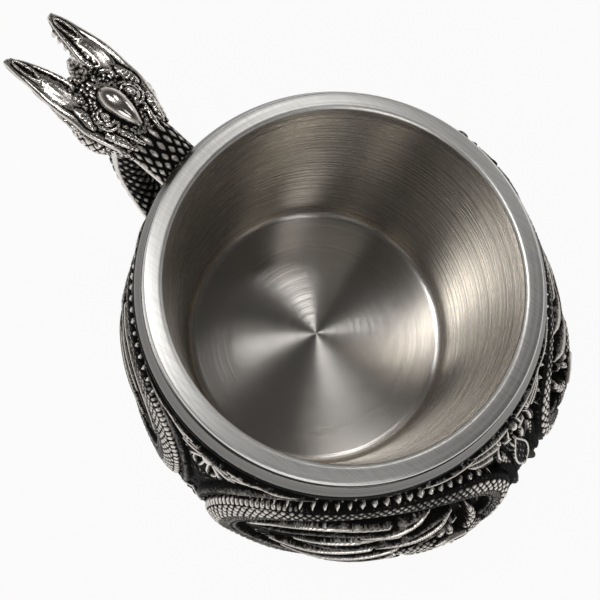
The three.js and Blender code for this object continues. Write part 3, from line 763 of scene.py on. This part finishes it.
# %% Where the silver is rubbed bright, painted highlight on the leaves included
def blurred(values, reach):
    kernel = np.exp(-0.5 * (np.arange(-3 * reach, 3 * reach + 1) / reach)**2)
    kernel /= kernel.sum()
    for axis in (0, 1):
        pad = [(3 * reach, 3 * reach) if axis == i else (0, 0) for i in (0, 1)]
        wide = np.pad(values, pad, mode="reflect")
        values = np.apply_along_axis(lambda line: np.convolve(line, kernel, "valid"), axis, wide)
    return values


proud = sheet - blurred(sheet, 4)
rubbed_and_lit = np.clip(0.98 * gleam + 0.1 * proud, 0, 1)
print(f"bright share: {(rubbed_and_lit > 0.5).mean():.2f}")

# %% [markdown]
# ## Cast body
# The sheet is wrapped round the wall four times as mirror images. The front swells into a belly and
# carries the full carving. The back is shallower, and beside the handle it fades to fine flat scales that
# leave room for fingers. Below is a rope moulding on the foot, and inside is the cavity for the liner.

# %% Wrap the sheet round the wall
WALL_R = 51
BELLY_FRONT = 19
BELLY_BACK = 6
BACK_RELIEF = 0.6
BARE_FROM, BARE_FULL = 156, 170
FLAT_SCALE = 0.35
AROUND = round(360 / SHEET_STEP)
angle = np.arange(AROUND) * 360 / AROUND
turn = np.abs((angle + 180) % 360 - 180)
fold = np.where(turn <= QUARTER, turn, 180 - turn)
column = np.round(fold / SHEET_STEP).astype(int)
bare = ramp(turn, BARE_FROM, BARE_FULL)
share = (1 + (BACK_RELIEF - 1) * ramp(turn, 80, 100)) * (1 - bare)
swell = (BELLY_FRONT + (BELLY_BACK - BELLY_FRONT) * ramp(turn, -10, 140)) * (1 - ramp(turn, 135, 172))
belly = swell * (ramp(SHEET_Z, 3, 28) * (1 - ramp(SHEET_Z, 38, 79)))[:, None]
edge = (ramp(SHEET_Z, WALL_LOW, 11) * (1 - ramp(SHEET_Z, 77.4, WALL_TOP)))[:, None]
scaly = diamonds(turn * 0.9, SHEET_Z[:, None], 4.4, 4.0) * bare
wall_r = WALL_R + belly + (sheet[column].T * share + FLAT_SCALE * scaly) * edge
wall_shade = (0.1 + rubbed_and_lit[column].T) * np.clip(share * 2, 0.3, 1) + 0.5 * scaly
print(f"wall radius from {wall_r.min():.1f} to {wall_r.max():.1f} mm")

# %% Rings of the whole body
ROPE_STRANDS = 54
ROPE_SLANT = 5.2
ROPE_CUT = 0.011
under = [(0.5, 2.3), (20, 2.3), (45.3, 2.3), (45.3, 0.6), (49.4, 0.6), (50.2, 0.9), (50.9, 1.5)]
up_rope = np.linspace(0, 1, 13)
rope = [(WALL_R + 0.75 * math.sin(math.pi * t), 1.9 + 3.6 * t) for t in up_rope]
above_rope = [(50.4, 5.9), (50.3, 6.5)]
neck = [(50.9, 79.3), (50.6, 80.0), (50.0, 80.2), (49.3, 80.2), (48.4, 81.0), (47.3, 81.8)]
neck += [(46.6, 81.9), (44.6, 81.9)]
inside = [(44.5, 80), (44.0, 60), (43.4, 36), (42.8, 15), (42.4, 12.4), (41.1, 10.9)]
inside += [(39, 10.7), (20, 10.7), (0.5, 10.7)]
twist = np.sin(np.radians(angle) * ROPE_STRANDS + up_rope[:, None] * ROPE_SLANT)
low_rows = ring_rows(under + rope + above_rope, AROUND)
bulge = np.ones(low_rows.shape[:2])
rope_at = slice(len(under), len(under) + len(rope))
bulge[rope_at] += ROPE_CUT * twist * np.sin(np.pi * up_rope)[:, None]
low_rows[:, :, :2] *= bulge[:, :, None]
wall_rows = np.stack([
    wall_r * np.cos(np.radians(angle)), wall_r * np.sin(np.radians(angle)),
    np.repeat(SHEET_Z[:, None], AROUND, 1)], -1)
body_rows = np.concatenate([low_rows, wall_rows, ring_rows(neck + inside, AROUND)])
print("rings:", len(body_rows))

# %% Make the body
low_shade = np.full(low_rows.shape[:2], 0.3)
low_shade[rope_at] = 0.45 + 0.4 * twist
top_shade = np.full((len(neck) + len(inside), AROUND), 0.25)
body_shade = np.concatenate([low_shade, wall_shade, top_shade])
body = grid_piece("relief_body", body_rows, [cast_silver], shade=body_shade)
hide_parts("mug_body")
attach(body, "tankard")

# %% [markdown]
# ## Handle
# The dragon's neck leaves the wall under the collar, arches over, and drops as the grip to a heel low on
# the wall. A curve with a bevel would give a plain pipe. Sweeping rings by hand lets the skin carry
# scales: small lozenges on the neck, larger plates on the grip, and a smooth ridge on both flanks.

# %% Handle path
HANDLE = [
    (-47.6, 72, 6.2, 6.2), (-54.1, 74, 6.2, 6.2), (-62.1, 75.6, 6.2, 6.2), (-68.4, 70.6, 5.4, 5.8),
    (-71.1, 58, 5.4, 5.8), (-71.5, 44, 5.4, 5.8), (-69, 31, 5.4, 5.8), (-62.1, 21, 6.2, 5.9),
    (-54.5, 17, 5.8, 5.6), (-47.6, 16, 5.6, 5.4),
]
spine_line = smooth_line(HANDLE, 44)
along = distances(spine_line[:, :2])
even = np.linspace(0, along[-1], 420)
spine_line = np.stack([np.interp(even, along, spine_line[:, k]) for k in range(4)], 1)
way = directions(spine_line[:, :2])
print(f"handle length: {along[-1]:.1f} mm")

# %% Scales on the handle
SIDES = 160
LOZENGES_ROUND = 15
PLATES_ROUND = 11
SINK = 0.5
clock = np.arange(SIDES) * 2 * np.pi / SIDES
run, around_grip = np.meshgrid(even, clock, indexing="ij")
on_neck = 1 - ramp(run, 20, 27)
lozenge = diamonds(run, around_grip, 4.4, 2 * np.pi / LOZENGES_ROUND)
plate = diamonds(run, around_grip, 5.6, 2 * np.pi / PLATES_ROUND)
skin = on_neck * 0.5 * lozenge + (1 - on_neck) * 0.7 * plate**0.8
flank = np.exp(-((1 - np.abs(np.cos(around_grip))) / 0.025)**2)
skin = skin * (1 - flank) + 0.8 * flank
grip_shade = np.clip(on_neck * (lozenge * 1.05 - 0.35) + (1 - on_neck) * (plate * 0.95 - 0.35), 0, 1)
grip_shade = np.maximum(grip_shade, flank * 0.85)
wide = spine_line[:, 2:3] + skin - SINK
deep = spine_line[:, 3:4] + skin - SINK
up_x, up_z = -way[:, 1:2], way[:, 0:1]
grip_rows = np.stack([
    spine_line[:, 0:1] + up_x * deep * np.sin(clock),
    wide * np.cos(clock),
    spine_line[:, 1:2] + up_z * deep * np.sin(clock)], -1)
grip_silver = antique_silver("grip_silver", 0.3, 0.85, 0.3)
grip = grid_piece("dragon_grip", grip_rows, [grip_silver], shade=grip_shade)
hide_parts("handle_casting")
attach(grip, "tankard")

# %% [markdown]
# ## Dragon head
# The head is many forms grown into one another: skull, jaws, brow ridges, eyes, teeth and a tongue.
# Joining them with booleans leaves hard seams. Building each as a rod or a ball and wrapping the lot in
# one voxel skin gives soft joins, and the grooves left between forms are where the dark finish stays.

# %% Rods and balls
BALL_RINGS = 15
BALL_SIDES = 24
BALL_TIP = 0.01


def tube_faces(rings, sides):
    """Faces of a tube of rings, with a cap on each end."""
    faces = []
    for i in range(rings - 1):
        for j in range(sides):
            k = (j + 1) % sides
            faces.append((i * sides + j, i * sides + k, (i + 1) * sides + k, (i + 1) * sides + j))
    faces.append(tuple(range(sides))[::-1])
    faces.append(tuple((rings - 1) * sides + j for j in range(sides)))
    return faces


def rod(stations, rings, sides):
    """Points and faces of a closed bar: each station is x, y, z, half width, half depth in mm."""
    line = smooth_line(stations, max(2, rings // (len(stations) - 1)))
    way = directions(line[:, :3])
    side = np.cross((0, 0, 1), way)
    side /= np.linalg.norm(side, axis=1)[:, None]
    lift = np.cross(way, side)
    turn = np.arange(sides) * 2 * np.pi / sides
    rows = line[:, None, :3] + side[:, None] * (line[:, 3:4] * np.cos(turn))[:, :, None]
    rows = rows + lift[:, None] * (line[:, 4:5] * np.sin(turn))[:, :, None]
    return rows.reshape(-1, 3), tube_faces(len(line), sides)


def ball(centre, radii, turned):
    """Points and faces of a ball with three radii in mm, turned about the vertical."""
    c, s = math.cos(math.radians(turned)), math.sin(math.radians(turned))
    turn = np.arange(BALL_SIDES) * 2 * np.pi / BALL_SIDES
    points = []
    for a in np.radians(np.linspace(-90, 90, BALL_RINGS)):
        wide = max(math.cos(a), BALL_TIP)
        points += [(wide * math.cos(t), wide * math.sin(t), math.sin(a)) for t in turn]
    x, y, z = (np.array(points) * np.array(radii)).T
    points = np.stack([x * c - y * s, x * s + y * c, z], 1)
    return points + np.array(centre), tube_faces(BALL_RINGS, BALL_SIDES)


print("rods and balls ready")

# %% Skull, jaws and tongue
SKULL_ROD = [
    (-60.5, 0, 78.6, 3.4, 2.4), (-63, 0, 78.6, 6.0, 4.2), (-67, 0, 79, 7.8, 5.4), (-72, 0, 79.2, 8.6, 6.0),
    (-77, 0, 79.6, 8.2, 5.2), (-81.5, 0, 80.6, 7.2, 3.8), (-84.4, 0, 81.4, 5.2, 2.4),
]
THROAT_ROD = [
    (-60, 0, 74.5, 4, 3), (-66, 0, 74.6, 6.6, 4.6), (-72, 0, 74.6, 7.2, 4.4), (-78, 0, 75.4, 5.6, 3.2),
]
LOWER_ROD = [
    (-72, 0, 74.6, 5.6, 3.4), (-78, 0, 73.4, 5, 2.8), (-83, 0, 73.6, 3.8, 2.2), (-87, 0, 74.6, 2.2, 1.4),
    (-88.6, 0, 75.2, 0.6, 0.5),
]
TONGUE_ROD = [
    (-79.5, 0, 81.6, 2.6, 1.4), (-82.2, 0, 85, 2.2, 1.0), (-83.8, 0, 88, 1.6, 0.8), (-84.6, 0, 90, 0.7, 0.4),
]
JAW_ROD = [
    (-76, 5.2, 81.0, 3.9, 3.2), (-82, 6.4, 82.2, 3.7, 3.2), (-88, 6.65, 83, 3.2, 2.7),
    (-94, 7.35, 83.1, 2.4, 2.0), (-98, 7.9, 82.6, 1.5, 1.3), (-99.7, 8.1, 82.3, 0.7, 0.6),
]


def side_rod(side, stations, rings, sides):
    """A rod on one side of the head. A station with one half width has it for its half depth too."""
    return rod([(s[0], side * s[1], s[2], s[3], s[-1]) for s in stations], rings, sides)


def side_ball(side, at, radii, turned):
    return ball((at[0], side * at[1], at[2]), radii, side * turned)


forms = [rod(SKULL_ROD, 30, 28), rod(THROAT_ROD, 24, 24), rod(LOWER_ROD, 24, 20), rod(TONGUE_ROD, 18, 14)]
forms += [side_rod(side, JAW_ROD, 40, 18) for side in (1, -1)]
print("main forms:", len(forms))

# %% Ridges along the jaws, and the boss
EDGE_ROD = [
    (-99.4, 8.4, 82.9, 0.6), (-95, 8.9, 83.9, 0.85), (-90, 9.2, 84.4, 0.95), (-84.5, 9.7, 84.4, 1.05),
    (-80, 9.7, 84.0, 1.1), (-76, 9.4, 83.4, 1.1), (-72, 9.4, 82.4, 1.05), (-67.5, 8.4, 81.2, 1.0),
    (-64, 7.3, 79.6, 0.8), (-60.5, 6.5, 77.4, 0.45),
]
UNDER_ROD = [
    (-86, 9.4, 82.2, 0.6), (-80, 10.1, 81.4, 0.8), (-74, 10.2, 80.2, 0.8), (-68, 9.2, 78.8, 0.75),
    (-63, 7.1, 77, 0.4),
]
INNER_ROD = [
    (-98.6, 7.2, 83.4, 0.45), (-94, 5.7, 84.3, 0.6), (-89, 4.5, 84.9, 0.7), (-84.5, 3.6, 84.6, 0.8),
    (-81, 3.6, 84.4, 0.7),
]
BOSS_ROD = [
    (-76, 0, 84.6, 0.8, 0.7), (-74.6, 0, 85, 2.2, 1.9), (-72, 0, 85.3, 2.9, 2.5), (-69, 0, 85.1, 2.7, 2.3),
    (-66, 0, 84.4, 1.9, 1.7), (-63, 0, 83.2, 0.5, 0.5),
]
SLOT_AT = (-92.4, 7.35, 85.2)
slot_rod = []
for a in np.radians(np.linspace(0, 360, 17)):
    x = SLOT_AT[0] + 4.4 * math.cos(a)
    y = SLOT_AT[1] - 0.1 * math.cos(a) + 0.85 * math.sin(a)
    slot_rod.append((x, y, SLOT_AT[2] + 0.35 * math.cos(a), 0.32, 0.4))
RIDGES = [(EDGE_ROD, 70, 12), (UNDER_ROD, 40, 10), (INNER_ROD, 36, 10), (slot_rod, 64, 8)]
print("ridges:", len(RIDGES), "on each side")

# %% Eyes, ears and teeth
PLATE_AT, PLATE_SIZE = (-84, 7.8, 83.3), (7.6, 2.7, 2.1)
EYE_AT, EYE_SIZE = (-70.2, 4.5, 84.7), (1.6, 1.05, 1.3)
TEMPLE = ((-75.4, 7.6, 83.2), (5.0, 1.7, 1.5), 5)
CHEEK = ((-73.5, 8.0, 77.2), (7.0, 3.4, 4.4), 6)
BALLS = [(PLATE_AT, PLATE_SIZE, -4), TEMPLE, (EYE_AT, EYE_SIZE, 14), CHEEK]
LIDS = [(1.9, 84.7, 0.42), (2.8, 84.0, 0.5)]
EAR_ROD = [(-68, 7.0, 82.6, 1.3, 1.1), (-64, 6.2, 82.2, 1.0, 0.9), (-60, 5.0, 80.8, 0.35)]
SMALL_EAR_ROD = [(-66.4, 4.4, 83, 0.9, 0.8), (-62.6, 3.6, 82.3, 0.7), (-59.4, 2.8, 81, 0.3)]
TEETH = (-86, -88.6, -91, -93.4, -95.6)


def lid_rod(reach, level, thick):
    """A bent ridge round the eye."""
    bend = np.radians(np.linspace(-35, 215, 9))
    x = EYE_AT[0] + reach * 1.25 * np.cos(bend)
    y = EYE_AT[1] + reach * 0.8 * np.sin(bend)
    return [(a, b, level, thick) for a, b in zip(x, y)]


def tooth_rod(number, x):
    y = 4.0 + 0.42 * number
    return [(x, y, 82.4, 0.9, 0.8), (x - 0.2, y - 0.6, 81.4, 0.6), (x - 0.3, y - 0.9, 80.5, 0.2)]


for side in (1, -1):
    forms += [side_rod(side, *ridge) for ridge in RIDGES]
    forms += [side_ball(side, *shape) for shape in BALLS]
    forms += [side_rod(side, lid_rod(*lid), 40, 8) for lid in LIDS]
    forms += [side_rod(side, EAR_ROD, 16, 12), side_rod(side, SMALL_EAR_ROD, 16, 10)]
    forms += [side_rod(side, tooth_rod(n, x), 8, 8) for n, x in enumerate(TEETH)]
forms.append(rod(BOSS_ROD, 50, 24))
print("forms in the head:", len(forms))

# %% Wrap the forms in one skin
def voxel_skin(name, forms, size):
    points, faces, start = [], [], 0
    for form_points, form_faces in forms:
        points.append(form_points)
        faces += [tuple(start + i for i in face) for face in form_faces]
        start += len(form_points)
    mesh = bpy.data.meshes.new(name)
    mesh.from_pydata((np.vstack(points) * MM).tolist(), [], faces)
    rough = add_object(name + "_forms", mesh)
    skin = rough.modifiers.new("skin", "REMESH")
    skin.mode = "VOXEL"
    skin.voxel_size = size * MM
    soft = rough.modifiers.new("soft", "SMOOTH")
    soft.factor = 0.5
    soft.iterations = 2
    graph = bpy.context.evaluated_depsgraph_get()
    done = bpy.data.meshes.new_from_object(rough.evaluated_get(graph))
    bpy.data.objects.remove(rough)
    done.name = name
    print(name, len(done.vertices), "points")
    return done


head_mesh = voxel_skin("dragon_head_skin", forms, 0.24)

# %% Pebbled skin and throat scales
SCATTER = np.array([(12.9898, 78.233, 37.719), (39.346, 11.135, 83.155), (73.156, 52.235, 9.151)])
SCATTER_STRETCH = 43758.5453
EDGE_STOP = 99
BOSS_AT, BOSS_SIZE = 70, (6.4, 2.8)


def pebbles(points, size):
    """One at the middle of each pebble, falling to nothing one cell away, with a middle in each cell."""
    cell = np.floor(points / size)
    nearest = np.full(len(points), 9.0)
    for shift in np.ndindex(3, 3, 3):
        home = cell + np.array(shift) - 1
        jitter = [np.sin(home @ weights) * SCATTER_STRETCH % 1 for weights in SCATTER]
        nearest = np.minimum(nearest, np.linalg.norm(points / size - home - np.stack(jitter, 1), axis=1))
    return 1 - np.clip(nearest, 0, 1)


count = len(head_mesh.vertices)
place, facing = np.empty(count * 3), np.empty(count * 3)
head_mesh.vertices.foreach_get("co", place)
head_mesh.vertices.foreach_get("normal", facing)
place, facing = place.reshape(-1, 3) / MM, facing.reshape(-1, 3)
reach, aside, level = -place[:, 0], np.abs(place[:, 1]), place[:, 2]
boss = np.hypot((reach - BOSS_AT) / BOSS_SIZE[0], aside / BOSS_SIZE[1])
edge_x, edge_y, edge_z, _ = np.array(EDGE_ROD[::-1]).T
edge_reach = np.minimum(-edge_x, EDGE_STOP)
edge_y, edge_z = np.interp(reach, edge_reach, edge_y), np.interp(reach, edge_reach, edge_z)
edge_off = np.minimum(np.hypot(aside - edge_y, level - edge_z) / 1.5, 2)
plate = np.hypot((reach + PLATE_AT[0]) / PLATE_SIZE[0], (aside - PLATE_AT[1]) / PLATE_SIZE[1])
crown = ramp(boss, 1.0, 1.15) * ramp(edge_off, 0.8, 1.3) * ramp(plate, 0.9, 1.2)
crown = crown * ramp(reach, 87, 83) * ramp(level, 79, 81)
throat = ramp(level, 80.5, 79) * ramp(reach, 86, 82)
belt = np.arctan2(aside, 78 - level) * 8
scale = diamonds(reach, belt, 2.6, 2.3)
push = crown * 0.34 * (pebbles(place, 0.9) - 0.4) + throat * 0.5 * (scale - 0.5)
push += 0.12 * (pebbles(place, 0.7) - 0.4) * ramp(reach, 83, 87) * ramp(edge_off, 0.8, 1.2)
place = place + facing * push[:, None]
head_mesh.vertices.foreach_set("co", (place * MM).reshape(-1))
head_mesh.update()
print(f"push from {push.min():.2f} to {push.max():.2f} mm")

# %% Rub the head bright where it stands proud
EVENING_PASSES = 14
edges = np.empty(len(head_mesh.edges) * 2, np.int32)
head_mesh.edges.foreach_get("vertices", edges)
edges = edges.reshape(-1, 2)
valence = np.bincount(edges.ravel(), minlength=count)[:, None]
evened = place.copy()
for _ in range(EVENING_PASSES):
    total = np.zeros_like(evened)
    np.add.at(total, edges[:, 0], evened[edges[:, 1]])
    np.add.at(total, edges[:, 1], evened[edges[:, 0]])
    evened = 0.5 * evened + 0.5 * total / valence
head_mesh.vertices.foreach_get("normal", facing.reshape(-1))
proud = ((place - evened) * facing).sum(1)
head_shade = 0.40 + proud / 0.2 + 0.5 * ramp(boss, 0.95, 0.8) * ramp(level, 84.6, 85.4)
head_shade += 0.3 * ramp(plate, 1.0, 0.5) * ramp(level, 83.5, 84.5)
head_shade = np.clip(head_shade, 0, 1)
mark_silver(head_mesh, head_shade)
head_mesh.shade_smooth()
head_silver = antique_silver("head_silver", 0.25, 0.75, 0.19)
head_mesh.materials.append(head_silver)
head = add_object("dragon_head_cast", head_mesh)
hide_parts("dragon_head")
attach(head, "tankard")
print(f"bright share of the head: {(head_shade > 0.5).mean():.2f}")

# %% [markdown]
# ## Pad and pins
# A foam pad with a soft edge is glued under the foot. Three steel pins tie the handle and head to the
# casting. They are hidden, so their solids stay as they are and only get a drawn-steel finish.

# %% Base pad
PAD_R = 45
PAD_THICK = 2
PAD_EDGE = 0.5
PORE_RANGE = (0.1, 0.6)
foam, tree, shader = new_finish("pad_foam")
pores = put(tree, "TexVoronoi", {"Vector": object_place(tree), "Scale": 1300.0}).outputs["Distance"]
solid = spread(tree, pores, *PORE_RANGE)
bump = put(tree, "Bump", {"Strength": 0.4, "Distance": 0.0003, "Height": pores})
fill(tree, shader, {
    "Base Color": two_tone(tree, solid, (0.008, 0.008, 0.008, 1), (0.028, 0.027, 0.026, 1)),
    "Roughness": spread(tree, pores, *PORE_RANGE, 0.95, 0.8), "Normal": bump.outputs[0]})
pad_profile = [(0.5, 0), (20, 0)] + arc(PAD_R - PAD_EDGE, PAD_EDGE, PAD_EDGE, -90, 0, 5)
pad_profile += arc(PAD_R - PAD_EDGE, PAD_THICK - PAD_EDGE, PAD_EDGE, 0, 90, 5)
pad_profile += [(20, PAD_THICK), (0.5, PAD_THICK)]
pad = grid_piece("foot_pad", ring_rows(pad_profile, 180), [foam])
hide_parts("base_pad")
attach(pad, "tankard")

# %% Pins
PINS = ("neck_pin", "heel_pin", "head_pin")
pin_steel, tree, shader = new_finish("pin_steel")
drawn = put(tree, "Mapping", {"Vector": object_place(tree), "Scale": (300, 4000, 4000)}).outputs[0]
lines = noise(tree, drawn, 1.0, 3.0)
fill(tree, shader, {
    "Base Color": two_tone(tree, lines, (0.42, 0.42, 0.42, 1), (0.62, 0.62, 0.61, 1)),
    "Roughness": spread(tree, lines, 0.3, 0.7, 0.42, 0.3), "Metallic": 1.0})
for name in PINS:
    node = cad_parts[name]
    node.data.materials.clear()
    node.data.materials.append(pin_steel)
print("pins finished:", len(PINS))
